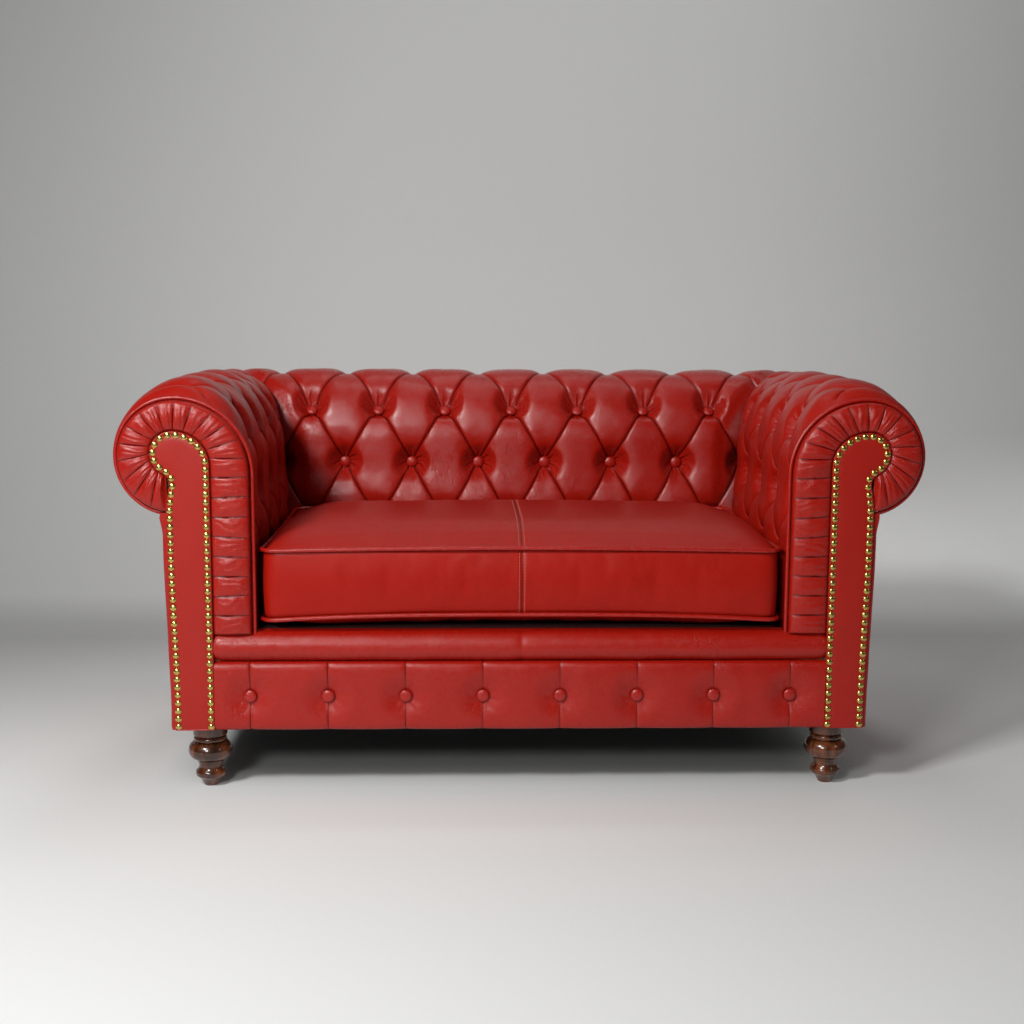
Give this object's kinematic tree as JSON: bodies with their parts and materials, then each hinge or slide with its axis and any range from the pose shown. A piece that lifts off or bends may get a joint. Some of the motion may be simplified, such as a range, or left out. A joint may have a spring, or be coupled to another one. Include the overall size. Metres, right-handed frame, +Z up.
{
  "type": "two-seater sofa",
  "caption": "Scroll-arm sofa in red leather with deep-buttoned back and arms, pleated scroll fronts, a loose bench cushion, a buttoned front border and turned front legs.",
  "frame": {"origin": "on the floor, at the centre of the footprint of the bounding box", "axes": "+Z up, +X to the right of someone who faces the sofa, the front faces -Y"},
  "size_m": [1.5366, 0.9183, 0.765],
  "materials": {
    "padded_leather": "semi-gloss red leather over foam and fibre",
    "leather": "semi-gloss red leather",
    "dark_leather": "semi-gloss red leather over cord",
    "walnut": "dark polished hardwood",
    "timber": "plain sawn hardwood",
    "jute": "hessian",
    "spring_steel": "drawn wire",
    "zip_brass": "satin",
    "black_cloth": "matt black cloth"
  },
  "bodies": {
    "sofa": {"back_pad": "padded_leather", "left_arm_pad": "padded_leather", "right_arm_pad": "padded_leather", "lip_roll": "padded_leather", "left_pleated_border": "padded_leather", "right_pleated_border": "padded_leather", "front_border": "padded_leather", "deck_pad": "black_cloth", "left_scroll_facing": "leather", "right_scroll_facing": "leather", "left_outside_panel": "leather", "right_outside_panel": "leather", "outside_back_panel": "leather", "border_button_1": "leather", "border_button_2": "leather", "border_button_3": "leather", "border_button_4": "leather", "border_button_5": "leather", "border_button_6": "leather", "border_button_7": "leather", "border_button_8": "leather", "left_arm_piping": "dark_leather", "right_arm_piping": "dark_leather", "left_front_leg": "walnut", "right_front_leg": "walnut", "left_rear_leg": "walnut", "right_rear_leg": "walnut", "left_facing_board": "timber", "right_facing_board": "timber", "left_arm_board": "timber", "right_arm_board": "timber", "front_rail": "timber", "rear_rail": "timber", "back_rail": "timber", "back_centre_post": "timber", "left_side_rail": "timber", "right_side_rail": "timber", "left_arm_rail": "timber", "right_arm_rail": "timber", "left_rear_post": "timber", "right_rear_post": "timber", "seat_spring_1": "spring_steel", "seat_spring_2": "spring_steel", "seat_spring_3": "spring_steel", "seat_spring_4": "spring_steel", "seat_spring_5": "spring_steel", "seat_spring_6": "spring_steel", "seat_hessian": "jute", "back_hessian": "jute", "left_arm_hessian": "jute", "right_arm_hessian": "jute", "dust_cover": "black_cloth"},
    "cushion": {"seat_cushion": "padded_leather", "cushion_top_piping": "dark_leather", "cushion_bottom_piping": "dark_leather", "cushion_zip": "zip_brass"},
    "slider": {"zip_slider": "zip_brass"}
  },
  "joints": [
    {"name": "cushion_draw", "type": "slide", "parent": "sofa", "child": "cushion", "axis": [0, -1, 0], "range_m": [0, 0.65]},
    {"name": "zip_run", "type": "slide", "parent": "cushion", "child": "slider", "axis": [-1, 0, 0], "range_m": [0, 0.586]}
  ]
}
